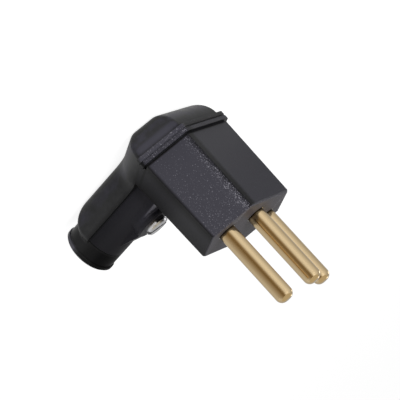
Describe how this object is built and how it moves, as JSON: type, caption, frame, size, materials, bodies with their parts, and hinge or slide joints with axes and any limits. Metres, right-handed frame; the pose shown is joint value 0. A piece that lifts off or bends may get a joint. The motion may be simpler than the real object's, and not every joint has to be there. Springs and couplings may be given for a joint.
{
  "type": "three-pin plug",
  "caption": "Right-angle mains plug with round brass pins in a hexagonal body, a hooded rear cover with a cord arm and a closing screw.",
  "frame": {"origin": "on the plug's axis, at the cover's flat back", "axes": "+Z along the pins towards their tips, +X along the hexagon's long axis, +Y away from the cord arm"},
  "size_m": [0.0342, 0.0416, 0.0478],
  "materials": {
    "textured_plastic": "spark-eroded",
    "smooth_plastic": "satin",
    "pin_brass": "polished",
    "plated_steel": "zinc plated"
  },
  "bodies": {
    "root": {"front_body": "textured_plastic", "rear_cover": "smooth_plastic", "line_pin": "pin_brass", "neutral_pin": "pin_brass", "earth_pin": "pin_brass", "closing_screw": "plated_steel", "line_terminal_screw": "plated_steel", "neutral_terminal_screw": "plated_steel", "earth_terminal_screw": "plated_steel"}
  },
  "joints": []
}
